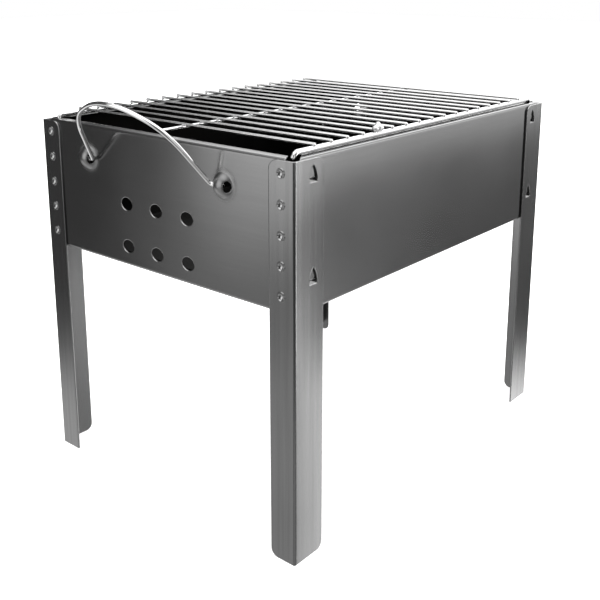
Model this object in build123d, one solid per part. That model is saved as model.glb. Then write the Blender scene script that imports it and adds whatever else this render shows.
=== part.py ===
"""Knock-down camp grill: two end frames, two hook-on side panels, a welded wire grate,
a slotted charcoal tray and two wire carrying handles.

Frame: +X runs along the long side from the left end to the right end, +Y from the front
side to the back side, +Z up. The floor is at z = 0. The origin lies under the middle of
the whole outline as it stands, with the left handle raised. Millimetres.
"""

from build123d import *
import math
import os

# Overall sizes
body_length = 352.0  # over the outside of the legs, along X
body_width = 270.0  # over the outside of the legs, along Y
grill_height = 290.0  # floor to the top of the panels
firebox_depth = 105.0  # height of the panels

# Legs: bent sheet angles with a wide and a narrow flange
leg_sheet = 1.2
leg_side_flange = 30.0
leg_end_flange = 22.0
leg_bend_radius = 1.8
leg_top_drop = 1.0  # the legs stop this much below the panels' top
foot_radius = 6.0
leg_top_radius = 7.0
square_corner_radius = 0.8

# Panels
panel_sheet = 1.0
panel_bend_radius = 2.0
panel_gap = 0.3  # between a side panel and the sheets beside it
top_flange = 9.0
bottom_flange = 12.0
bottom_flange_setback = 3.5  # from the legs' inner faces to the flange's ends
hem_height = 7.0
notch_depth = 2.2  # how far the end panels' corners are notched below the top
end_mitre_outer = 6.8
end_mitre_inner = 12.0
side_mitre_outer = 4.8
side_mitre_inner = 17.6

# Air holes in the end panels
air_hole_width = 13.0
air_hole_height = 10.2
air_hole_spacing = 33.2
air_hole_upper_drop = 56.0
air_hole_lower_drop = 89.5

# Lanced tongues on the legs and their slots in the side panels
tongue_offset = 19.5  # from the leg's corner to the tongue's middle
tongue_upper_drop = 17.0
tongue_lower_drop = 86.5
opening_width = 7.8
opening_height = 12.0
tongue_width = 6.8
tongue_rise = 10.5
tongue_gap = 0.4  # between a tongue and the panel it holds
slot_side_gap = 0.8

# Cupped rivets
rivet_count = 5
rivet_first_drop = 9.6
rivet_pitch = 20.8
rivet_inset = 11.4  # from the leg's corner
rivet_shank_radius = 2.9
rivet_cup_radius = 3.0
rivet_cup_depth = 1.7
rivet_rim_radius = 3.7
rivet_rim_height = 0.5
rivet_tail_height = 0.8

# Pressed ears for the handles
ear_half_spacing = 74.0
ear_offset = 2.5
ear_drop = 25.3
ear_base_radius = 10.8  # out to where the dome has run into the flat sheet
ear_base_blend = 2.2
ear_reach = 7.0
ear_sheet = panel_sheet
ear_hole_depth = 4.8
ear_hole_height = 8.4
ear_window_start = 1.0  # from the dome's own axis, so that its crown stays whole

# Handles
handle_wire = 3.2
handle_axis_reach = 3.4  # from the end panel's outer face to the pivot axis
handle_base_half = 64.8
handle_shoulder_half = 49.2
handle_shoulder_rise = 46.3
handle_peak_rise = 70.9
handle_shoulder_radius = 45.0
handle_peak_radius = 60.0
handle_foot_radius = 3.4
handle_end_half = 76.2
handle_raised_angle = 34.3  # the raised handle's lean out from the vertical
handle_lowered_angle = 180.0  # the lowered handle hangs straight down

# Grate
rod_diameter = 4.0
rod_inset = 9.4  # from the leg's outer face to the rod's axis
rod_end_inset = 10.2
rod_bend_radius = 4.0
rod_end_depth = 12.0  # how far the turned-down ends reach below the panels' top
rest_gap = 0.3
bar_diameter = 2.2
bar_count = 17
bar_margin = 31.0  # from the legs' outer face to the first bar
bar_overhang = -1.0  # the bars end on the rods, short of their outer sides
weld_sink = 0.3
centre_wire_diameter = 2.2
centre_wire_inset = 6.5

# Charcoal tray
tray_sheet = 0.8
tray_wall = 9.0
tray_end_gap = 2.0
tray_side_gap = 2.5
tray_corner_radius = 4.0
tray_bend_radius = 1.8
tray_slot_length = 34.0
tray_slot_width = 5.0
tray_slot_columns = 5
tray_slot_rows = 9
tray_slot_end_margin = 64.0  # plain floor kept below the air holes
tray_slot_side_margin = 66.0  # plain floor kept along the sides

half_length = body_length / 2
half_width = body_width / 2
firebox_floor = grill_height - firebox_depth
leg_height = grill_height - leg_top_drop
end_face = half_length - leg_sheet  # outer face of an end panel
side_face = half_width - leg_sheet - panel_gap  # outer face of a side panel
reach_over = 4.0  # how far a cutting tool runs past the sheet it cuts


def sheet_profile(points, outer_radius, sheet, outer_corners, inner_corners):
    """Closed section of folded sheet, with its bends rounded."""
    face = make_face(Polyline(*points, close=True))
    for corner in outer_corners:
        vertex = face.vertices().sort_by_distance(Vector(*corner))[0]
        face = fillet(vertex, outer_radius)
    for corner in inner_corners:
        vertex = face.vertices().sort_by_distance(Vector(*corner))[0]
        face = fillet(vertex, outer_radius - sheet)
    return face


def plan_prism(points, low, high):
    """Upright prism over a plan outline."""
    outline = make_face(Polyline(*[(x, y) for x, y in points], close=True))
    return Pos(0, 0, low) * extrude(outline, amount=high - low)


def pointed_arch(width, rise):
    """Face of a pointed arch in the XZ plane, its sill centred on the origin."""
    half = width / 2
    shoulder = rise * 0.28
    bulge = (half * 0.72, rise * 0.66)
    sill = Line((-half, 0), (half, 0))
    right_side = Line((half, 0), (half, shoulder))
    right_arc = ThreePointArc((half, shoulder), bulge, (0, rise))
    left_arc = ThreePointArc((0, rise), (-bulge[0], bulge[1]), (-half, shoulder))
    left_side = Line((-half, shoulder), (-half, 0))
    outline = make_face([sill, right_side, right_arc, left_arc, left_side])
    return Plane.XZ * outline


def tongue_blank(sill_height):
    """Bent strip of a lanced tongue, in a leg whose corner is at the origin."""
    rise_face = leg_sheet + panel_gap + panel_sheet + tongue_gap
    slope_drop = leg_sheet * math.sqrt(2.0)
    points = [
        (0, 0),
        (rise_face, rise_face),
        (rise_face, tongue_rise),
        (rise_face + leg_sheet, tongue_rise),
        (rise_face + leg_sheet, rise_face + leg_sheet - slope_drop),
        (leg_sheet, leg_sheet - slope_drop),
        (0, leg_sheet - slope_drop),
    ]
    section = Plane.YZ * make_face(Polyline(*points, close=True))
    strip = extrude(section, amount=tongue_width / 2, both=True)
    outline = pointed_arch(tongue_width, tongue_rise)
    shaft = extrude(outline, amount=reach_over + rise_face + leg_sheet, both=True)
    root = Pos(0, leg_sheet / 2, -slope_drop / 2) * Box(
        tongue_width, leg_sheet, slope_drop
    )
    tongue = (strip & shaft) + root
    return Pos(tongue_offset, 0, sill_height) * tongue


def rivet_heights():
    """Heights of one leg's rivets above the floor."""
    first = grill_height - rivet_first_drop
    return [first - rivet_pitch * step for step in range(rivet_count)]


def corner_edge(shape, along, plan, height):
    """Short edge of a flange's free corner, nearest to the place given."""
    edges = shape.edges().filter_by(along)
    return edges.sort_by_distance(Vector(plan[0], plan[1], height))[0]


def build_leg_blank():
    """One square-footed leg, its corner at the origin, its flanges along +X and +Y."""
    points = [
        (0, 0),
        (leg_side_flange, 0),
        (leg_side_flange, leg_sheet),
        (leg_sheet, leg_sheet),
        (leg_sheet, leg_end_flange),
        (0, leg_end_flange),
    ]
    section = sheet_profile(
        points, leg_bend_radius, leg_sheet, [(0, 0)], [(leg_sheet, leg_sheet)]
    )
    leg = extrude(section, amount=leg_height)
    side_plan = (leg_side_flange, leg_sheet / 2)
    end_plan = (leg_sheet / 2, leg_end_flange)
    leg = fillet(corner_edge(leg, Axis.Y, side_plan, leg_height), leg_top_radius)
    leg = fillet(corner_edge(leg, Axis.X, end_plan, leg_height), leg_top_radius)
    for drop in (tongue_upper_drop, tongue_lower_drop):
        sill = grill_height - drop
        arch = pointed_arch(opening_width, opening_height)
        cutter = extrude(arch, amount=reach_over, both=True)
        leg -= Pos(tongue_offset, 0, sill) * cutter
        leg += tongue_blank(sill)
    for height in rivet_heights():
        bore = Rot(0, 90, 0) * Cylinder(rivet_shank_radius, 2 * reach_over)
        leg -= Pos(0, rivet_inset, height) * bore
    return leg


def round_feet(leg, end_radius, side_radius):
    """Rounds the free corners of a leg's two flanges at the floor."""
    side_plan = (leg_side_flange, leg_sheet / 2)
    end_plan = (leg_sheet / 2, leg_end_flange)
    leg = fillet(corner_edge(leg, Axis.Y, side_plan, 0), side_radius)
    return fillet(corner_edge(leg, Axis.X, end_plan, 0), end_radius)


def build_rivets():
    """One leg's cupped rivets, with the leg's corner at the origin."""
    grip = leg_sheet + panel_sheet
    end = grip + rivet_tail_height
    rim_round = rivet_rim_height * 0.8
    tail_round = rivet_tail_height * 0.5
    cup_lip = (rivet_cup_radius, -rivet_rim_height)
    cup_side = (rivet_cup_radius / 2, -rivet_rim_height + rivet_cup_depth * 0.75)
    cup_bottom = (0, -rivet_rim_height + rivet_cup_depth)
    points = [
        cup_lip,
        (rivet_rim_radius - rim_round, -rivet_rim_height),
        (rivet_rim_radius, -rivet_rim_height + rim_round),
        (rivet_rim_radius, 0),
        (rivet_shank_radius, 0),
        (rivet_shank_radius, grip),
        (rivet_rim_radius, grip),
        (rivet_rim_radius, end - tail_round),
        (rivet_rim_radius - tail_round, end),
        (0, end),
        cup_bottom,
    ]
    outline = make_face([Polyline(*points), ThreePointArc(cup_bottom, cup_side, cup_lip)])
    half_section = Plane.XZ * outline
    rivet = Rot(0, 90, 0) * revolve(half_section, Axis.Z)
    return [Pos(0, rivet_inset, height) * rivet for height in rivet_heights()]


def build_ear_cap():
    """Pressed dome of a handle ear: its axis is -X and the flat sheet's outer face lies at x = 0."""
    blend = ear_base_blend
    swell = ear_base_radius**2 + (ear_reach - blend) ** 2 - blend**2
    ball = swell / (2 * ear_reach)
    centre = ball - ear_reach
    lean = math.atan2(blend + centre, ear_base_radius)
    middle = (lean + math.pi / 2) / 2

    def on_ball(radius, angle):
        return centre - radius * math.sin(angle), radius * math.cos(angle)

    def on_blend(radius, angle):
        return radius * math.sin(angle) - blend, ear_base_radius - radius * math.cos(angle)

    outer_crown = (-ear_reach, 0)
    inner_crown = (ear_sheet - ear_reach, 0)
    outer_rim = (0, ear_base_radius)
    inner_rim = (ear_sheet, ear_base_radius)
    outer_turn = on_ball(ball, lean)
    inner_turn = on_ball(ball - ear_sheet, lean)
    edge = Line(inner_crown, outer_crown)
    edge += ThreePointArc(outer_crown, on_ball(ball, middle), outer_turn)
    edge += ThreePointArc(outer_turn, on_blend(blend, middle), outer_rim)
    edge += Line(outer_rim, inner_rim)
    edge += ThreePointArc(inner_rim, on_blend(blend + ear_sheet, middle), inner_turn)
    edge += ThreePointArc(inner_turn, on_ball(ball - ear_sheet, middle), inner_crown)
    dome = revolve(make_face(edge), Axis.X, 360)
    for side in (-1, 1):
        dome -= ear_window(side)
    return dome


def ear_window(side):
    """Cutter of the oval hole on the handle's axis, through the dome's flank on the side given."""
    length = ear_base_radius + reach_over
    start = ear_window_start if side > 0 else -ear_window_start - length
    plane = Plane(origin=(-handle_axis_reach, start, 0), x_dir=(1, 0, 0), z_dir=(0, 1, 0))
    return extrude(plane * Ellipse(ear_hole_depth / 2, ear_hole_height / 2), amount=length)


def build_end_panel():
    """Left end panel in its place: outer face at x = -end_face."""
    points = [
        (0, firebox_floor),
        (0, grill_height),
        (top_flange, grill_height),
        (top_flange, grill_height - panel_sheet),
        (panel_sheet, grill_height - panel_sheet),
        (panel_sheet, firebox_floor + panel_sheet),
        (bottom_flange, firebox_floor + panel_sheet),
        (bottom_flange, firebox_floor),
    ]
    inner_corners = [
        (panel_sheet, grill_height - panel_sheet),
        (panel_sheet, firebox_floor + panel_sheet),
    ]
    section = sheet_profile(
        points,
        panel_bend_radius,
        panel_sheet,
        [(0, firebox_floor), (0, grill_height)],
        inner_corners,
    )
    half_span = half_width - leg_bend_radius
    panel = extrude(Plane.XZ * section, amount=half_span, both=True)
    for side in (-1, 1):
        mitre = plan_prism(
            [
                (-reach_over, side * (half_span - end_mitre_outer)),
                (0, side * (half_span - end_mitre_outer)),
                (top_flange + 0.01, side * (half_span - end_mitre_inner)),
                (top_flange + reach_over, side * (half_span - end_mitre_inner)),
                (top_flange + reach_over, side * (half_span + reach_over)),
                (-reach_over, side * (half_span + reach_over)),
            ],
            grill_height - notch_depth,
            grill_height + reach_over,
        )
        panel -= mitre
        setback = half_width - leg_sheet - bottom_flange_setback
        low_corner = plan_prism(
            [
                (panel_sheet, side * setback),
                (bottom_flange + reach_over, side * setback),
                (bottom_flange + reach_over, side * (half_span + reach_over)),
                (panel_sheet, side * (half_span + reach_over)),
            ],
            firebox_floor - reach_over,
            firebox_floor + panel_bend_radius,
        )
        panel -= low_corner
    for row in (air_hole_upper_drop, air_hole_lower_drop):
        for column in (-1, 0, 1):
            spot = Pos(0, column * air_hole_spacing, grill_height - row)
            oval = Plane.YZ * Ellipse(air_hole_width / 2, air_hole_height / 2)
            panel -= spot * extrude(oval, amount=reach_over, both=True)
    ear = build_ear_cap()
    for side in (-1, 1):
        spot = Pos(0, ear_offset + side * ear_half_spacing, grill_height - ear_drop)
        mouth = Rot(0, 90, 0) * Cylinder(ear_base_radius, 4 * panel_sheet)
        panel -= spot * mouth
        panel += spot * ear
    for side in (-1, 1):
        for height in rivet_heights():
            bore = Rot(0, 90, 0) * Cylinder(rivet_shank_radius, 2 * reach_over)
            panel -= Pos(0, side * (half_width - rivet_inset), height) * bore
    return Pos(-end_face, 0, 0) * panel


def build_side_panel():
    """Front side panel in its place: outer face at y = -side_face."""
    points = [
        (0, firebox_floor),
        (0, grill_height),
        (top_flange, grill_height),
        (top_flange, grill_height - panel_sheet),
        (panel_sheet, grill_height - panel_sheet),
        (panel_sheet, firebox_floor + hem_height),
        (2 * panel_sheet, firebox_floor + hem_height),
        (2 * panel_sheet, firebox_floor),
    ]
    section = sheet_profile(
        points,
        panel_bend_radius,
        panel_sheet,
        [(0, grill_height)],
        [(panel_sheet, grill_height - panel_sheet)],
    )
    for corner in ((0, firebox_floor), (2 * panel_sheet, firebox_floor)):
        vertex = section.vertices().sort_by_distance(Vector(*corner))[0]
        section = fillet(vertex, panel_sheet * 0.9)
    half_span = end_face - panel_sheet - panel_gap
    panel = extrude(Plane.YZ * section, amount=half_span, both=True)
    slot_top = leg_sheet + panel_gap + panel_sheet + rest_gap
    lift = tongue_rise - slot_top + rest_gap
    slot_bottom = -(leg_sheet * (math.sqrt(2.0) - 1.0)) + panel_gap - rest_gap - lift
    slot_height = slot_top - slot_bottom
    slot_width = tongue_width + 2 * slot_side_gap
    for side in (-1, 1):
        mitre = plan_prism(
            [
                (side * (half_span - side_mitre_outer), -reach_over),
                (side * (half_span - side_mitre_outer), 0),
                (side * (half_span - side_mitre_inner), top_flange + 0.01),
                (side * (half_span - side_mitre_inner), top_flange + reach_over),
                (side * (half_span + reach_over), top_flange + reach_over),
                (side * (half_span + reach_over), -reach_over),
            ],
            grill_height - notch_depth,
            grill_height + reach_over,
        )
        panel -= mitre
        for drop in (tongue_upper_drop, tongue_lower_drop):
            middle = grill_height - drop + (slot_top + slot_bottom) / 2
            slot = Box(slot_width, 2 * reach_over, slot_height)
            slot = fillet(slot.edges().filter_by(Axis.Y), 1.0)
            panel -= Pos(side * (half_length - tongue_offset), 0, middle) * slot
    return Pos(0, -side_face, 0) * panel


def build_handle(lean):
    """Wire bail on the left end, turned out from the vertical by the angle given."""
    half_path = [
        (handle_end_half, 0),
        (handle_base_half, 0),
        (handle_shoulder_half, handle_shoulder_rise),
        (0, handle_peak_rise),
    ]
    right = [(y, z) for y, z in half_path]
    left = [(-y, z) for y, z in reversed(half_path[:-1])]
    path = FilletPolyline(
        *[(0, y, z) for y, z in right + left],
        radius=[
            handle_foot_radius,
            handle_shoulder_radius,
            handle_peak_radius,
            handle_shoulder_radius,
            handle_foot_radius,
        ],
    )
    section = Plane(origin=(0, handle_end_half, 0), z_dir=(0, -1, 0)) * Circle(
        handle_wire / 2
    )
    bail = sweep(section, path=path)
    bail = fillet(bail.edges().group_by(Axis.Y)[0], handle_wire * 0.15)
    bail = fillet(bail.edges().group_by(Axis.Y)[-1], handle_wire * 0.15)
    pivot_x = -end_face - handle_axis_reach
    spot = Pos(pivot_x, ear_offset, grill_height - ear_drop)
    return spot * Rot(0, -lean, 0) * bail


def build_rod():
    """Front long rod of the grate, with both ends turned down."""
    height = grill_height + rest_gap + rod_diameter / 2
    end_x = half_length - rod_end_inset
    low = grill_height - rod_end_depth
    y = -half_width + rod_inset
    path = FilletPolyline(
        (-end_x, y, low),
        (-end_x, y, height),
        (end_x, y, height),
        (end_x, y, low),
        radius=rod_bend_radius,
    )
    section = Plane(origin=(-end_x, y, low), z_dir=(0, 0, 1)) * Circle(rod_diameter / 2)
    rod = sweep(section, path=path)
    return fillet(rod.edges().group_by(Axis.Z)[0], rod_diameter * 0.15)


def build_bars():
    """Cross bars that lie over the rods, from the left end to the right end."""
    pitch = (body_length - 2 * bar_margin) / (bar_count - 1)
    level = grill_height + rest_gap + rod_diameter - weld_sink + bar_diameter / 2
    reach = half_width - rod_inset + rod_diameter / 2 + bar_overhang
    bar = Rot(90, 0, 0) * Cylinder(bar_diameter / 2, 2 * reach)
    bar = fillet(bar.edges().filter_by(GeomType.CIRCLE), bar_diameter * 0.15)
    first = -half_length + bar_margin
    return [Pos(first + pitch * step, 0, level) * bar for step in range(bar_count)]


def build_centre_wire():
    """Long wire under the middle of the bars."""
    rods_top = grill_height + rest_gap + rod_diameter
    level = rods_top - centre_wire_diameter / 2
    reach = half_length - centre_wire_inset
    wire = Rot(0, 90, 0) * Cylinder(centre_wire_diameter / 2, 2 * reach)
    wire = fillet(wire.edges().filter_by(GeomType.CIRCLE), centre_wire_diameter * 0.15)
    return Pos(0, 0, level) * wire


def build_tray():
    """Charcoal tray: a shallow pan with rows of air slots."""
    size_x = 2 * (end_face - panel_sheet - tray_end_gap)
    size_y = 2 * (side_face - panel_sheet - tray_side_gap)
    floor = firebox_floor + panel_sheet + rest_gap
    outer = extrude(RectangleRounded(size_x, size_y, tray_corner_radius), tray_wall)
    outer = fillet(outer.edges().group_by(Axis.Z)[0], tray_bend_radius)
    inner = extrude(
        RectangleRounded(
            size_x - 2 * tray_sheet,
            size_y - 2 * tray_sheet,
            tray_corner_radius - tray_sheet,
        ),
        tray_wall,
    )
    inner = fillet(inner.edges().group_by(Axis.Z)[0], tray_bend_radius - tray_sheet)
    pan = outer - Pos(0, 0, tray_sheet) * inner
    span_x = size_x - 2 * tray_slot_end_margin - tray_slot_length
    span_y = size_y - 2 * tray_slot_side_margin - tray_slot_width
    step_x = span_x / (tray_slot_columns - 1)
    step_y = span_y / (tray_slot_rows - 1)
    slot = extrude(SlotOverall(tray_slot_length, tray_slot_width), reach_over, both=True)
    spots = [
        Pos(-span_x / 2 + step_x * column, -span_y / 2 + step_y * row, 0)
        for column in range(tray_slot_columns)
        for row in range(tray_slot_rows)
    ]
    pan -= Compound(children=[spot * slot for spot in spots])
    return Pos(0, 0, floor) * pan


def at_corner(shape, x_sign, y_sign):
    """Sets a leg's shape, built with its corner at the origin, on a grill corner."""
    if x_sign > 0:
        shape = mirror(shape, about=Plane.YZ)
    if y_sign > 0:
        shape = mirror(shape, about=Plane.XZ)
    return Pos(x_sign * half_length, y_sign * half_width, 0) * shape


round_foot = foot_radius
square_foot = square_corner_radius
corners = {
    "front_left": (-1, -1, round_foot, round_foot),
    "back_left": (-1, 1, square_foot, round_foot),
    "front_right": (1, -1, round_foot, square_foot),
    "back_right": (1, 1, round_foot, round_foot),
}

leg_blank = build_leg_blank()
rivet_row = build_rivets()
nodes = {}
for name, (x_sign, y_sign, end_radius, side_radius) in corners.items():
    leg = round_feet(leg_blank, end_radius, side_radius)
    nodes["leg_" + name] = at_corner(leg, x_sign, y_sign)
    rivets = [at_corner(rivet, x_sign, y_sign) for rivet in rivet_row]
    nodes["rivets_" + name] = Compound(children=rivets)

half_turn = Rot(0, 0, 180)
end_panel = build_end_panel()
side_panel = build_side_panel()
nodes["end_panel_left"] = end_panel
nodes["end_panel_right"] = half_turn * end_panel
nodes["side_panel_front"] = side_panel
nodes["side_panel_back"] = half_turn * side_panel
nodes["handle_left"] = build_handle(handle_raised_angle)
nodes["handle_right"] = half_turn * build_handle(handle_lowered_angle)
nodes["charcoal_tray"] = build_tray()
nodes["grate_rod_front"] = build_rod()
nodes["grate_rod_back"] = half_turn * build_rod()
nodes["grate_centre_wire"] = build_centre_wire()
for number, bar in enumerate(build_bars(), start=1):
    nodes[f"grate_bar_{number:02d}"] = bar

# The origin is set under the middle of the outline along X.
low_x = min(shape.bounding_box().min.X for shape in nodes.values())
high_x = max(shape.bounding_box().max.X for shape in nodes.values())
to_middle = Pos(-(low_x + high_x) / 2, 0, 0)

os.makedirs("parts", exist_ok=True)
for name, shape in nodes.items():
    export_step(to_middle * shape, f"parts/{name}.step")
print("left end of the legs at x =", round(-half_length - (low_x + high_x) / 2, 4))
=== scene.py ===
"""Dresses a knock-down charcoal camp grill.

It gives the sheets and wires their finishes, adds the weld beads, and builds the studio with its camera.
"""

import logging
import math
from dataclasses import dataclass
from enum import Enum

import bpy
from mathutils import Matrix, Vector


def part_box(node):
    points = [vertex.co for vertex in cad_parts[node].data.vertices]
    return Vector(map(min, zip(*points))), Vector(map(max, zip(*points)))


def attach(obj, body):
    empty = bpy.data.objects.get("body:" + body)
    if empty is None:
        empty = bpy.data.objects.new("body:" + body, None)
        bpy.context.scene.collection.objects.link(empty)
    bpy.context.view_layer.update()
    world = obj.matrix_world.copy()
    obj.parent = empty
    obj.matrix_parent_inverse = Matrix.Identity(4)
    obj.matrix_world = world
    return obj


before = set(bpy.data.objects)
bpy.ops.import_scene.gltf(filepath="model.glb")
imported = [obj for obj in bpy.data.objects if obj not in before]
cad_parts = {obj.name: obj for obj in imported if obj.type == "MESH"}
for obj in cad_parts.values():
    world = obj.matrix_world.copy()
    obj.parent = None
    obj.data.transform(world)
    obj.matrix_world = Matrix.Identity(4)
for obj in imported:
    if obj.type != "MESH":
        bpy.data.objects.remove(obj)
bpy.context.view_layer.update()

LOG = logging.getLogger("camp_grill")
MM = 0.001
IMAGE_WIDTH = 600.0  # pixels


class Slot(Enum):
    """The record's material slots."""

    LEG = "leg_enamel"
    PANEL = "panel_enamel"
    RIVET = "rivet_steel"
    GRATE = "grate_chrome"
    HANDLE = "handle_chrome"
    TRAY = "tray_steel"


class Axis(Enum):
    """The way a drawn or rolled grain runs, as the stretch of its pattern along x, y and z."""

    X = (0.02, 1.0, 1.0)
    Y = (1.0, 0.02, 1.0)
    Z = (1.0, 1.0, 0.02)


class Nodes:
    """A node tree with short ways to add and link its nodes."""

    def __init__(self, tree: bpy.types.NodeTree) -> None:
        """Empties the tree.

        Args:
            tree: The tree to fill.
        """
        self.tree = tree
        self.tree.nodes.clear()

    def add(self, kind: str, **inputs: object) -> bpy.types.Node:
        """Adds a node.

        Args:
            kind: The node's class, such as ShaderNodeMath.
            inputs: Values or sockets by input name, with _ for a space, or i0, i1 for an input by number.

        Returns:
            The new node.
        """
        node = self.tree.nodes.new(kind)
        for name, value in inputs.items():
            self.put(node, name, value)
        return node

    def put(self, node: bpy.types.Node, name: str, value: object) -> None:
        """Sets or links one input of a node.

        Args:
            node: The node.
            name: The input's name with _ for a space, or i and its number.
            value: A plain value, or the socket to link from.
        """
        if name[0] == "i" and name[1:].isdigit():
            socket = node.inputs[int(name[1:])]
        else:
            socket = node.inputs[name.replace("_", " ")]
        if isinstance(value, bpy.types.NodeSocket):
            self.tree.links.new(value, socket)
        else:
            socket.default_value = value

    def math(self, operation: str, *values: object) -> bpy.types.NodeSocket:
        """Adds a Math node.

        Args:
            operation: Its operation, such as MULTIPLY.
            values: Its inputs, as numbers or sockets.

        Returns:
            The result's socket.
        """
        node = self.tree.nodes.new("ShaderNodeMath")
        node.operation = operation
        for i, value in enumerate(values):
            self.put(node, f"i{i}", value)
        return node.outputs[0]

    def ramp(
        self, value: object, low: float, high: float, start: float = 0.0, end: float = 1.0
    ) -> bpy.types.NodeSocket:
        """Adds a smooth step between two values.

        Args:
            value: The socket to map.
            low: The value where the step starts.
            high: The value where it ends.
            start: The result below low.
            end: The result above high.

        Returns:
            The result's socket.
        """
        node = self.tree.nodes.new("ShaderNodeMapRange")
        node.interpolation_type = "SMOOTHSTEP"
        for name, number in (("From Min", low), ("From Max", high), ("To Min", start), ("To Max", end)):
            node.inputs[name].default_value = number
        self.put(node, "Value", value)
        return node.outputs["Result"]

    def noise(
        self, vector: object, scale: float, detail: float = 3.0, roughness: float = 0.5
    ) -> bpy.types.NodeSocket:
        """Adds a noise texture.

        Args:
            vector: The socket of its coordinates.
            scale: Features per metre.
            detail: Octaves.
            roughness: Weight of the finer octaves.

        Returns:
            The socket of its value, from 0 to 1 about 0.5.
        """
        node = self.add("ShaderNodeTexNoise", Vector=vector, Scale=scale, Detail=detail, Roughness=roughness)
        return node.outputs["Fac"]

    def mix(self, factor: object, first: object, second: object) -> bpy.types.NodeSocket:
        """Mixes two colours.

        Args:
            factor: The share of the second, as a number or socket.
            first: The colour at 0.
            second: The colour at 1.

        Returns:
            The mixed colour's socket.
        """
        node = self.tree.nodes.new("ShaderNodeMix")
        node.data_type = "RGBA"
        self.put(node, "i0", factor)
        self.put(node, "i6", first)
        self.put(node, "i7", second)
        return node.outputs[2]

    def stretched(self, point: object, axis: Axis) -> bpy.types.NodeSocket:
        """Scales coordinates so that a pattern runs along one axis.

        Args:
            point: The socket of the coordinates.
            axis: The way the pattern runs.

        Returns:
            The socket of the scaled coordinates.
        """
        node = self.add("ShaderNodeMapping", Vector=point)
        node.inputs["Scale"].default_value = axis.value
        return node.outputs["Vector"]


def grey(value: float, warmth: float = 0.0) -> tuple[float, float, float, float]:
    """A near-neutral colour.

    Args:
        value: Its linear brightness.
        warmth: How far red is above and blue below it, as a share.

    Returns:
        Red, green, blue and alpha.
    """
    return (value * (1 + warmth), value, value * (1 - warmth), 1.0)


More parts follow.
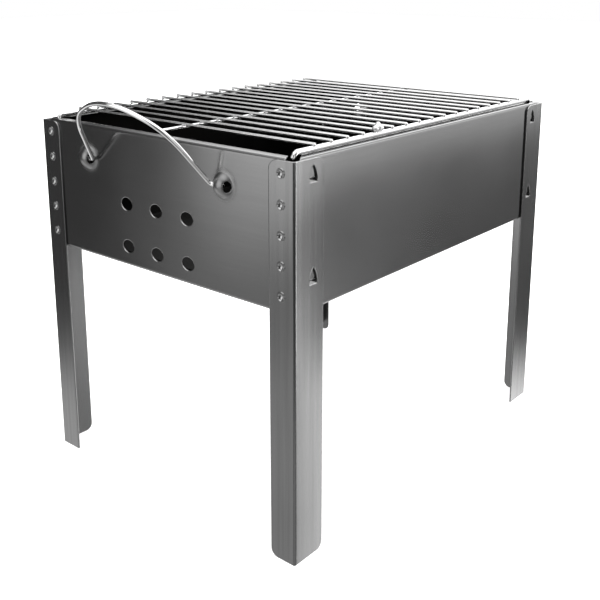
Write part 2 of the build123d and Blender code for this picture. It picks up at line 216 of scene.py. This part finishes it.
@dataclass(frozen=True)
class SheetFinish:
    """Semi-gloss coated sheet steel, with painted shade darkening the faces that bound the firebox, and with
    its cut edges lightened, partly as rubbed coat and partly as a painted highlight.
    """

    name: str
    tone: float
    roughness: float
    grain: Axis
    firebox: tuple[Vector, Vector] | None = None
    edge_radius: float = 0.9 * MM
    streaks: float = 0.04
    bore: tuple[float, float] | None = None
    domes: Vector | None = None

    def inside(self, nodes: Nodes, point: bpy.types.NodeSocket) -> bpy.types.NodeSocket:
        """Builds the mask of the faces that look into the firebox, where the shade is painted.

        Args:
            nodes: The material's tree.
            point: The socket of the Object coordinates.

        Returns:
            A socket that is 1 inside the firebox's box and 0 outside it.
        """
        low, high = self.firebox
        split = nodes.add("ShaderNodeSeparateXYZ", Vector=point)
        edge = 0.25 * MM
        mask = None
        for i in range(3):
            above = nodes.ramp(split.outputs[i], low[i] - edge, low[i] + edge)
            below = nodes.ramp(split.outputs[i], high[i] - edge, high[i] + edge, 1.0, 0.0)
            both = nodes.math("MULTIPLY", above, below)
            mask = both if mask is None else nodes.math("MULTIPLY", mask, both)
        return mask

    def build(self) -> bpy.types.Material:
        """Makes the material.

        Returns:
            The new material.
        """
        material = bpy.data.materials.new(self.name)
        material.use_nodes = True
        nodes = Nodes(material.node_tree)
        point = nodes.add("ShaderNodeTexCoord").outputs["Object"]
        cloud = nodes.noise(point, 9.0, 2.0)
        grain = nodes.noise(nodes.stretched(point, self.grain), 900.0, 3.0)
        speck = nodes.noise(point, 2600.0, 2.0)
        tone = nodes.mix(nodes.ramp(cloud, 0.3, 0.7), grey(self.tone * 0.96), grey(self.tone * 1.04))
        tone = nodes.mix(nodes.ramp(grain, 0.3, 0.75, 0.0, 0.08), tone, grey(self.tone * 1.5))
        streak = nodes.noise(nodes.stretched(point, self.grain), 300.0, 2.0)
        tone = nodes.mix(nodes.ramp(streak, 0.25, 0.75, 0.0, self.streaks), tone, grey(self.tone * 1.8))
        rough = nodes.ramp(cloud, 0.3, 0.7, self.roughness * 0.94, self.roughness * 1.08)
        rough = nodes.math("ADD", rough, nodes.ramp(speck, 0.3, 0.7, -0.008, 0.008))
        edge = nodes.add("ShaderNodeBevel", Radius=self.edge_radius)
        edge.samples = 6
        rounded = edge.outputs["Normal"]
        rubbed_and_highlit_edges = self.edge_wear_and_highlight(nodes, rounded)
        if self.domes is not None:
            far = self.from_ear(nodes, point)
            dome = nodes.ramp(far, 9.0 * MM, 14.0 * MM, 1.0, 0.0)
            rough = nodes.math("ADD", rough, nodes.math("MULTIPLY", dome, 0.16))
            # the ears get neither the rubbed coat nor the painted edge highlight
            rubbed_and_highlit_edges = nodes.math("MULTIPLY", rubbed_and_highlit_edges, nodes.math("SUBTRACT", 1.0, dome))
            rounded = self.eased(nodes, far, rounded)
        bump = nodes.add("ShaderNodeBump", Strength=0.03, Distance=0.0001, Height=speck)
        nodes.put(bump, "Normal", rounded)
        dents = nodes.noise(point, 22.0, 1.0)
        wave = nodes.add("ShaderNodeBump", Strength=0.05, Distance=0.0004, Height=dents)
        nodes.put(wave, "Normal", bump.outputs["Normal"])
        # the cut edges are lightened: partly rubbed coat, partly a painted highlight of their gleam
        tone = nodes.mix(rubbed_and_highlit_edges, tone, grey(self.tone * 2.4))
        shader = nodes.add("ShaderNodeBsdfPrincipled", Normal=wave.outputs["Normal"])
        shader.inputs["Metallic"].default_value = 1.0
        if self.firebox is not None:
            # painted shade: the faces inside the firebox are darkened to near black and made matt
            mask = self.inside(nodes, point)
            tone = nodes.mix(mask, tone, grey(0.010, 0.03))
            rough = nodes.math("MAXIMUM", rough, nodes.math("MULTIPLY", mask, 0.62))
        if self.bore is not None:
            tone = nodes.mix(self.inside_bore(nodes, point), tone, grey(0.45))
        nodes.put(shader, "Base_Color", tone)
        nodes.put(shader, "Roughness", rough)
        output = nodes.add("ShaderNodeOutputMaterial")
        nodes.put(output, "Surface", shader.outputs["BSDF"])
        return material

    def inside_bore(self, nodes: Nodes, point: bpy.types.NodeSocket) -> bpy.types.NodeSocket:
        """Builds the mask of what lies deeper than the legs' outer faces, where the rivets are bright.

        Args:
            nodes: The material's tree.
            point: The socket of the Object coordinates.

        Returns:
            A socket that is 1 in the rivets' cups and 0 on their rims.
        """
        x = nodes.add("ShaderNodeSeparateXYZ", Vector=point).outputs[0]
        left, right = self.bore
        above = nodes.ramp(x, left - 0.30 * MM, left - 0.05 * MM)
        return nodes.math("MULTIPLY", above, nodes.ramp(x, right + 0.05 * MM, right + 0.30 * MM, 1.0, 0.0))

    def from_ear(self, nodes: Nodes, point: bpy.types.NodeSocket) -> bpy.types.NodeSocket:
        """Builds the distance to the nearest pressed ear's own axis.

        Args:
            nodes: The material's tree.
            point: The socket of the Object coordinates.

        Returns:
            The socket of the distance.
        """
        split = nodes.add("ShaderNodeSeparateXYZ", Vector=point)
        offset, across, up = self.domes
        from_middle = nodes.math("ABSOLUTE", nodes.math("SUBTRACT", split.outputs[1], offset))
        aside = nodes.math("SUBTRACT", from_middle, across)
        rise = nodes.math("SUBTRACT", split.outputs[2], up)
        squares = nodes.math("ADD", nodes.math("POWER", aside, 2.0), nodes.math("POWER", rise, 2.0))
        return nodes.math("SQRT", squares)

    def eased(
        self, nodes: Nodes, far: bpy.types.NodeSocket, normal: bpy.types.NodeSocket
    ) -> bpy.types.NodeSocket:
        """Turns the normal towards the flat sheet's where an ear runs out into it without an edge.

        Args:
            nodes: The material's tree.
            far: The socket of the distance to the nearest ear's axis.
            normal: The socket of the normal to ease.

        Returns:
            The socket of the eased normal.
        """
        inner = nodes.ramp(far, 6.0 * MM, 10.0 * MM)
        outer = nodes.ramp(far, 13.0 * MM, 16.0 * MM, 1.0, 0.0)
        band = nodes.math("MULTIPLY", inner, outer)
        keep = nodes.math("SUBTRACT", 1.0, nodes.math("MULTIPLY", band, 0.85))
        parts = nodes.add("ShaderNodeSeparateXYZ", Vector=normal)
        joined = nodes.add("ShaderNodeCombineXYZ")
        nodes.put(joined, "X", parts.outputs[0])
        nodes.put(joined, "Y", nodes.math("MULTIPLY", parts.outputs[1], keep))
        nodes.put(joined, "Z", nodes.math("MULTIPLY", parts.outputs[2], keep))
        unit = nodes.tree.nodes.new("ShaderNodeVectorMath")
        unit.operation = "NORMALIZE"
        nodes.put(unit, "i0", joined.outputs["Vector"])
        return unit.outputs["Vector"]

    def edge_wear_and_highlight(self, nodes: Nodes, rounded: bpy.types.NodeSocket) -> bpy.types.NodeSocket:
        """Builds the mask of the sheet's cut edges, where the coat is rubbed thin and a painted highlight
        stands in for the edges' gleam.

        Args:
            nodes: The material's tree.
            rounded: The socket of the normal with its edges rounded.

        Returns:
            A socket that is 0 on flat sheet and rises along the edges.
        """
        flat = nodes.add("ShaderNodeNewGeometry").outputs["Normal"]
        turn = nodes.tree.nodes.new("ShaderNodeVectorMath")
        turn.operation = "DOT_PRODUCT"
        nodes.put(turn, "i0", rounded)
        nodes.put(turn, "i1", flat)
        return nodes.ramp(turn.outputs["Value"], 0.85, 0.995, 0.6, 0.0)


@dataclass(frozen=True)
class WireFinish:
    """Bright chrome plate on drawn steel wire."""

    name: str
    tone: float
    roughness: float
    grain: Axis

    def build(self) -> bpy.types.Material:
        """Makes the material.

        Returns:
            The new material.
        """
        material = bpy.data.materials.new(self.name)
        material.use_nodes = True
        nodes = Nodes(material.node_tree)
        point = nodes.add("ShaderNodeTexCoord").outputs["Object"]
        drawn = nodes.noise(nodes.stretched(point, self.grain), 2200.0, 3.0)
        cloud = nodes.noise(point, 60.0, 3.0)
        tone = nodes.mix(nodes.ramp(cloud, 0.3, 0.7), grey(self.tone * 0.93, 0.004), grey(self.tone, -0.004))
        rough = nodes.ramp(drawn, 0.3, 0.7, self.roughness * 0.8, self.roughness * 1.3)
        bump = nodes.add("ShaderNodeBump", Strength=0.05, Distance=0.00005, Height=drawn)
        shader = nodes.add(
            "ShaderNodeBsdfPrincipled", Base_Color=tone, Roughness=rough, Normal=bump.outputs["Normal"]
        )
        shader.inputs["Metallic"].default_value = 1.0
        output = nodes.add("ShaderNodeOutputMaterial")
        nodes.put(output, "Surface", shader.outputs["BSDF"])
        return material


@dataclass(frozen=True)
class TrayFinish:
    """Matt black heat-proof coat with a dusty bloom, its black deepened past any coat as painted shade of the
    firebox's inside.
    """

    name: str

    def build(self) -> bpy.types.Material:
        """Makes the material.

        Returns:
            The new material.
        """
        material = bpy.data.materials.new(self.name)
        material.use_nodes = True
        nodes = Nodes(material.node_tree)
        point = nodes.add("ShaderNodeTexCoord").outputs["Object"]
        cloud = nodes.noise(point, 25.0, 5.0, 0.6)
        speck = nodes.noise(point, 1500.0, 2.0)
        # near black: partly the black coat, partly painted shade of the firebox's inside; the bloom is random
        # tone
        tone = nodes.mix(nodes.ramp(cloud, 0.35, 0.7), grey(0.006, 0.02), grey(0.012, 0.03))
        rough = nodes.ramp(cloud, 0.3, 0.7, 0.58, 0.72)
        bump = nodes.add("ShaderNodeBump", Strength=0.25, Distance=0.0001, Height=speck)
        shader = nodes.add(
            "ShaderNodeBsdfPrincipled", Base_Color=tone, Roughness=rough, Normal=bump.outputs["Normal"]
        )
        shader.inputs["Specular IOR Level"].default_value = 0.12
        output = nodes.add("ShaderNodeOutputMaterial")
        nodes.put(output, "Surface", shader.outputs["BSDF"])
        return material


def dress(node: str, material: bpy.types.Material) -> None:
    """Gives a CAD node its finish.

    Args:
        node: The node's name.
        material: The finish.
    """
    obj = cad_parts[node]
    obj.data.materials.clear()
    obj.data.materials.append(material)
    LOG.info("dressed %s in %s", node, material.name)


@dataclass
class EndFrames:
    """The two end panels with their legs and cupped rivets."""

    sheet_tone: float = 0.26
    sheet_roughness: float = 0.16
    ear_spacing: float = 148.0 * MM
    ear_offset: float = 2.5 * MM
    ear_drop: float = 25.3 * MM
    leg_streaks: float = 0.16
    rivet_roughness: float = 0.13
    rivet_edge: float = 0.10 * MM

    def build(self) -> None:
        """Dresses the legs, the end panels and the rivets."""
        low, high = firebox_inside()
        leg = SheetFinish(
            "leg semi-gloss coat",
            self.sheet_tone,
            self.sheet_roughness,
            Axis.Z,
            (low, high),
            streaks=self.leg_streaks,
        ).build()
        faces = (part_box("leg_front_left")[0].x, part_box("leg_front_right")[1].x)
        rivet = SheetFinish(
            "rivet coat",
            self.sheet_tone,
            self.rivet_roughness,
            Axis.Z,
            edge_radius=self.rivet_edge,
            streaks=0.0,
            bore=faces,
        ).build()
        ears = Vector((self.ear_offset, self.ear_spacing / 2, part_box("end_panel_left")[1].z - self.ear_drop))
        panel = SheetFinish(
            "end panel semi-gloss coat",
            self.sheet_tone,
            self.sheet_roughness,
            Axis.Y,
            (low, high),
            domes=ears,
        ).build()
        for place in ("front_left", "back_left", "front_right", "back_right"):
            dress(f"leg_{place}", leg)
            dress(f"rivets_{place}", rivet)
        for side in ("left", "right"):
            dress(f"end_panel_{side}", panel)


@dataclass
class SidePanels:
    """The two long panels that hook on to the legs."""

    sheet_tone: float = 0.26
    sheet_roughness: float = 0.16

    def build(self) -> None:
        """Dresses both panels."""
        low, high = firebox_inside()
        panel = SheetFinish(
            "side panel semi-gloss coat", self.sheet_tone, self.sheet_roughness, Axis.X, (low, high)
        ).build()
        for side in ("front", "back"):
            dress(f"side_panel_{side}", panel)


def firebox_inside() -> tuple[Vector, Vector]:
    """Finds the space between the panels' inner faces.

    Returns:
        Its lowest and highest corner, in metres.
    """
    sheet = 1.0 * MM
    flange = 12.0 * MM  # how far the end panels' bottom flanges reach inwards
    skin = 0.6 * sheet  # past the middle of the sheet, so that only its inner face is inside
    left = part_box("end_panel_left")[1].x - flange + skin
    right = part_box("end_panel_right")[0].x + flange - skin
    low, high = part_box("side_panel_front")
    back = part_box("side_panel_back")[1].y - skin
    lowest = Vector((left, low.y + skin, low.z - sheet))
    highest = Vector((right, back, high.z - 0.5 * sheet))
    return lowest, highest


@dataclass
class Grate:
    """The lift-off wire grate: two rods, a centre wire and the cross bars, with their weld beads."""

    bars: int = 17
    bead_across: float = 2.7 * MM
    bead_along: float = 3.3 * MM
    bead_rise: float = 1.15 * MM
    wire_bead: float = 2.5 * MM
    lump_bar: int = 5
    lump_radius: float = 2.7 * MM
    rod_bead_sink: float = 0.35 * MM
    wire_bead_lift: float = 0.3 * MM
    body: str = "grate"

    def build(self) -> None:
        """Dresses the wires and adds the beads."""
        bar = WireFinish("bar chrome", 0.86, 0.16, Axis.Y).build()
        rod = WireFinish("rod chrome", 0.86, 0.14, Axis.X).build()
        bead = WireFinish("weld bead chrome", 0.88, 0.20, Axis.X).build()
        for i in range(1, self.bars + 1):
            dress(f"grate_bar_{i:02d}", bar)
        for wire in ("grate_rod_front", "grate_rod_back", "grate_centre_wire"):
            dress(wire, rod)
        self.rod_beads(bead)
        self.wire_beads(bead)
        self.lump(WireFinish("overfilled weld plate", 0.95, 0.42, Axis.X).build())

    def bead(
        self, name: str, along: float, across: float, rise: float, material: bpy.types.Material
    ) -> bpy.types.Object:
        """Models one weld bead about the origin: a low mound with its crown set in and a little to one side.

        Args:
            name: Its name.
            along: Its length along X.
            across: Its width along Y.
            rise: Its height.
            material: Its finish.

        Returns:
            The bead.
        """
        crown_from = 0.55
        bpy.ops.object.select_all(action="DESELECT")
        bpy.ops.mesh.primitive_uv_sphere_add(segments=12, ring_count=6, radius=0.5, location=(0, 0, 0))
        bead = bpy.context.object
        bead.name = name
        bpy.ops.object.mode_set(mode="EDIT")
        bpy.ops.mesh.select_all(action="SELECT")
        bpy.ops.transform.resize(value=(along, across, 2 * rise), center_override=(0, 0, 0))
        bpy.ops.mesh.select_all(action="DESELECT")
        bpy.ops.object.mode_set(mode="OBJECT")
        for polygon in bead.data.polygons:
            polygon.select = polygon.center.z > crown_from * rise
        bpy.ops.object.mode_set(mode="EDIT")
        bpy.ops.mesh.inset(thickness=0.12 * across)
        bpy.ops.transform.translate(value=(0.05 * along, 0, -0.10 * rise))
        bpy.ops.object.mode_set(mode="OBJECT")
        bpy.ops.object.shade_smooth()
        bead.data.materials.append(material)
        return bead

    def place(self, bead: bpy.types.Object, name: str, at: Vector) -> None:
        """Puts a copy of a bead, with its own mesh, on the grate.

        Args:
            bead: The bead to copy.
            name: The copy's name.
            at: The copy's middle.
        """
        copy = bead.copy()
        copy.data = bead.data.copy()
        copy.name = name
        copy.data.name = name
        bpy.context.scene.collection.objects.link(copy)
        copy.data.transform(Matrix.Translation(at))
        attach(copy, self.body)

    def middle(self, node: str) -> Vector:
        """Finds the middle of a node's box.

        Args:
            node: The node's name.

        Returns:
            The middle, in metres.
        """
        low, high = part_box(node)
        return (low + high) / 2

    def rod_beads(self, material: bpy.types.Material) -> None:
        """Welds each bar's ends to the rods.

        Args:
            material: The beads' finish.
        """
        bead = self.bead("rod_bead", self.bead_across, self.bead_along, self.bead_rise, material)
        for side in ("front", "back"):
            rod_low, rod_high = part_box(f"grate_rod_{side}")
            line = (rod_low.y + rod_high.y) / 2
            for i in range(1, self.bars + 1):
                bar = self.middle(f"grate_bar_{i:02d}")
                self.place(bead, f"weld_{side}_{i:02d}", Vector((bar.x, line, bar.z - self.rod_bead_sink)))
            LOG.info("welded the bars to the %s rod", side)
        bpy.data.objects.remove(bead)

    def wire_beads(self, material: bpy.types.Material) -> None:
        """Welds each bar to the centre wire.

        Args:
            material: The beads' finish.
        """
        bead = self.bead("wire_bead", self.wire_bead, self.wire_bead * 1.1, self.wire_bead * 0.55, material)
        wire = self.middle("grate_centre_wire")
        for i in range(1, self.bars + 1):
            bar = self.middle(f"grate_bar_{i:02d}")
            level = (bar.z + wire.z) / 2 + self.wire_bead_lift
            self.place(bead, f"weld_centre_{i:02d}", Vector((bar.x, wire.y, level)))
        bpy.data.objects.remove(bead)
        LOG.info("welded the bars to the centre wire")

    def lump(self, material: bpy.types.Material) -> None:
        """Adds the one overfilled weld on the front rod, a lump melted together from four lobes.

        Args:
            material: Its finish.
        """
        bar = self.middle(f"grate_bar_{self.lump_bar:02d}")
        low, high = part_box("grate_rod_front")
        foot = Vector((bar.x + 1.2 * MM, (low.y + high.y) / 2 + 0.6 * MM, high.z - 0.2 * MM))
        radius = self.lump_radius
        # each lobe's middle and size, as shares of the radius
        lobes = ((0, 0, 0.9, 1.15), (-1.15, 0.1, 0.75, 0.9), (1.1, -0.1, 0.7, 0.85), (0.1, 0.2, 1.75, 0.75))
        bpy.ops.object.select_all(action="DESELECT")
        parts = []
        for x, y, z, size in lobes:
            place = foot + Vector((x, y, z)) * radius
            bpy.ops.mesh.primitive_ico_sphere_add(subdivisions=3, radius=size * radius, location=place)
            parts.append(bpy.context.object)
        for part in parts:
            part.select_set(True)
        bpy.context.view_layer.objects.active = parts[0]
        bpy.ops.object.join()
        lump = bpy.context.object
        bpy.ops.object.transform_apply(location=True, rotation=True, scale=True)
        lump.name = "weld_lump"
        lump.data.name = "weld_lump"
        melt = lump.modifiers.new("melt", "REMESH")
        melt.mode = "VOXEL"
        melt.voxel_size = 0.35 * MM
        ease = lump.modifiers.new("ease", "SMOOTH")
        ease.iterations = 6
        for modifier in ("melt", "ease"):
            bpy.ops.object.modifier_apply(modifier=modifier)
        bpy.ops.object.shade_smooth()
        lump.data.materials.clear()
        lump.data.materials.append(material)
        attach(lump, self.body)
        LOG.info("added the overfilled weld")


@dataclass
class Handles:
    """The two swinging wire bails."""

    def build(self) -> None:
        """Dresses both bails."""
        chrome = WireFinish("handle chrome", 0.84, 0.10, Axis.Y).build()
        for side in ("left", "right"):
            dress(f"handle_{side}", chrome)


@dataclass
class Tray:
    """The slotted charcoal tray."""

    def build(self) -> None:
        """Dresses the tray."""
        dress("charcoal_tray", TrayFinish("tray black with painted shade").build())


@dataclass(frozen=True)
class Card:
    """A soft-edged light card in the surroundings, upright and a metre from the grill, unseen by the camera.

    facing is the direction to the card in degrees from +X towards +Y. across and height each say where the
    card's light starts and is full, and where it starts to fall and is gone, in metres.
    """

    name: str
    facing: float
    across: tuple[float, float, float, float]
    height: tuple[float, float, float, float]
    strength: float

    def glow(self, nodes: Nodes, way: tuple[bpy.types.NodeSocket, ...]) -> bpy.types.NodeSocket:
        """Builds the card's light.

        Args:
            nodes: The world's tree.
            way: The sockets of the direction's x, y and z.

        Returns:
            The socket of the card's brightness in that direction.
        """
        turn = math.radians(self.facing)
        x, y, z = way
        ahead = nodes.math(
            "ADD", nodes.math("MULTIPLY", x, math.cos(turn)), nodes.math("MULTIPLY", y, math.sin(turn))
        )
        aside = nodes.math(
            "SUBTRACT", nodes.math("MULTIPLY", y, math.cos(turn)), nodes.math("MULTIPLY", x, math.sin(turn))
        )
        far = nodes.math("MAXIMUM", ahead, 0.1)
        light = nodes.ramp(ahead, 0.08, 0.12, 0.0, self.strength)
        sideways = nodes.math("DIVIDE", aside, far)
        upwards = nodes.math("DIVIDE", z, far)
        for value, edges in ((sideways, self.across), (upwards, self.height)):
            rise = nodes.ramp(value, edges[0], edges[1])
            fall = nodes.ramp(value, edges[2], edges[3], 1.0, 0.0)
            light = nodes.math("MULTIPLY", light, nodes.math("MULTIPLY", rise, fall))
        return light


CARDS = (
    Card("left wall", 135.0, (-0.056, 0.01, 0.8, 1.2), (-0.386, -0.157, 0.6, 1.0), 1.35),
    Card("left bench", 135.0, (-0.10, -0.08, 0.8, 1.2), (-0.498, -0.397, -0.386, -0.157), 0.27),
    Card("far left floor", 135.0, (-1.2, -0.8, -0.208, -0.018), (-9.0, -8.0, -0.498, -0.397), 0.87),
    Card("near left floor", 135.0, (-0.208, -0.018, 0.8, 1.2), (-9.0, -8.0, -0.498, -0.397), 0.48),
    Card("right wall", -90.0, (0.484, 1.344, 2.6, 3.2), (-0.376, -0.346, 0.5, 0.8), 1.06),
    Card("right post", -90.0, (0.83, 0.87, 0.95, 1.12), (-0.69, -0.60, 0.3, 0.6), 5.6),
    Card("right bench", -90.0, (-0.2, 0.1, 2.6, 3.2), (-0.95, -0.65, -0.376, -0.346), 0.12),
    Card("far right floor", -33.0, (-0.143, -0.082, 0.4, 0.8), (-9.0, -8.0, -0.506, -0.411), 2.2),
    Card("near right floor", -33.0, (-0.8, -0.6, -0.143, -0.082), (-9.0, -8.0, -0.397, -0.303), 0.27),
    Card("right loft", -20.0, (-1.2, -0.6, 0.9, 1.3), (0.12, 0.30, 1.6, 2.4), 1.3),
    Card("back wall", 30.0, (-0.9, -0.3, 0.236, 0.445), (-0.22, -0.16, 0.7, 1.1), 1.35),
    Card("backdrop", 30.0, (-0.9, -0.6, 0.6, 0.8), (-9.0, -8.0, 0.05, 0.12), 0.6),
    Card("front wall", -108.0, (-0.8, -0.3, 0.15, 0.35), (-0.22, -0.16, 0.5, 0.8), 0.8),
    Card("front floor", -125.0, (-0.9, -0.6, 0.5, 0.8), (-9.0, -8.0, -0.60, -0.48), 0.4),
)


@dataclass
class Studio:
    """Pale floor, soft light and camera."""

    sensor_width: float = 36.0
    lamp_place: tuple[float, float, float] = (0.1, 0.3, 2.4)
    lamp_size: float = 2.2
    lamp_power: float = 4.0
    lamp_aim: tuple[float, float, float] = (0.0, 0.0, 0.2)
    floor_size: float = 14.0
    floor_tone: float = 0.8
    floor_glow: float = 0.93
    room: float = 0.085
    ceiling: float = 1.7
    ceiling_edge: tuple[float, float] = (0.58, 0.84)
    eye: tuple[float, float, float] = (-0.573206, -0.488874, 0.403068)
    yaw: float = 40.12514
    pitch: float = -13.33256
    lens_px: float = 889.8346
    shift_up: float = -0.19

    def floor(self) -> None:
        """Lays the floor."""
        bpy.ops.object.select_all(action="DESELECT")
        bpy.ops.mesh.primitive_plane_add(size=self.floor_size, location=(0, 0, 0))
        floor = bpy.context.object
        floor.name = "studio_floor"
        material = bpy.data.materials.new("pale floor")
        material.use_nodes = True
        nodes = Nodes(material.node_tree)
        point = nodes.add("ShaderNodeTexCoord").outputs["Object"]
        tone = nodes.mix(nodes.noise(point, 3.0), grey(self.floor_tone), grey(self.floor_tone * 0.99))
        shader = nodes.add("ShaderNodeBsdfPrincipled", Base_Color=tone)
        shader.inputs["Roughness"].default_value = 0.9
        shader.inputs["Emission Color"].default_value = grey(1.0)
        shader.inputs["Emission Strength"].default_value = self.floor_glow
        output = nodes.add("ShaderNodeOutputMaterial")
        nodes.put(output, "Surface", shader.outputs["BSDF"])
        floor.data.materials.append(material)
        floor.visible_glossy = False
        floor.visible_diffuse = False
        LOG.info("laid the floor")

    def world(self) -> None:
        """Builds the surroundings: light cards at the sides, a dim room between them and a bright ceiling."""
        world = bpy.data.worlds.new("studio")
        bpy.context.scene.world = world
        world.use_nodes = True
        nodes = Nodes(world.node_tree)
        generated = nodes.add("ShaderNodeTexCoord").outputs["Generated"]
        split = nodes.add("ShaderNodeSeparateXYZ", Vector=generated)
        way = tuple(split.outputs[i] for i in range(3))
        glow = nodes.ramp(way[2], self.ceiling_edge[0], self.ceiling_edge[1], self.room, self.ceiling)
        for card in CARDS:
            glow = nodes.math("ADD", glow, card.glow(nodes, way))
            LOG.info("stood the card %s", card.name)
        seen = nodes.add("ShaderNodeLightPath").outputs["Is Camera Ray"]
        strength = nodes.math("ADD", nodes.math("MULTIPLY", glow, nodes.math("SUBTRACT", 1.0, seen)), seen)
        background = nodes.add("ShaderNodeBackground", Color=grey(1.0), Strength=strength)
        output = nodes.add("ShaderNodeOutputWorld")
        nodes.put(output, "Surface", background.outputs["Background"])

    def light(self, name: str, place: tuple[float, float, float], size: float, power: float) -> None:
        """Adds one soft lamp aimed at the grill.

        Args:
            name: Its name.
            place: Where it hangs, in metres.
            size: Its side, in metres.
            power: Its power, in watts.
        """
        data = bpy.data.lights.new(name, "AREA")
        data.shape = "SQUARE"
        data.size = size
        data.energy = power
        lamp = bpy.data.objects.new(name, data)
        bpy.context.scene.collection.objects.link(lamp)
        lamp.location = place
        aim = Vector(self.lamp_aim) - Vector(place)
        lamp.rotation_euler = aim.to_track_quat("-Z", "Y").to_euler()
        LOG.info("hung %s", name)

    def camera(self) -> None:
        """Sets the camera."""
        data = bpy.data.cameras.new("camera")
        data.sensor_width = self.sensor_width
        data.lens = self.lens_px / IMAGE_WIDTH * data.sensor_width
        data.shift_y = self.shift_up
        data.clip_start = 0.01
        eye = bpy.data.objects.new("camera", data)
        bpy.context.scene.collection.objects.link(eye)
        yaw, pitch = math.radians(self.yaw), math.radians(self.pitch)
        ahead = Vector((math.cos(yaw) * math.cos(pitch), math.sin(yaw) * math.cos(pitch), math.sin(pitch)))
        eye.location = self.eye
        eye.rotation_euler = ahead.to_track_quat("-Z", "Y").to_euler()
        bpy.context.scene.camera = eye
        LOG.info("set the camera")

    def build(self) -> None:
        """Builds the studio."""
        self.floor()
        self.world()
        self.light("overhead lamp", self.lamp_place, self.lamp_size, self.lamp_power)
        self.camera()
        bpy.context.scene.view_settings.view_transform = "Standard"


def main() -> None:
    """Builds the sub-assemblies and the studio in order."""
    logging.basicConfig(level=logging.INFO, format="%(message)s")
    for part in (EndFrames(), SidePanels(), Grate(), Handles(), Tray(), Studio()):
        part.build()


if __name__ == "__main__":
    main()
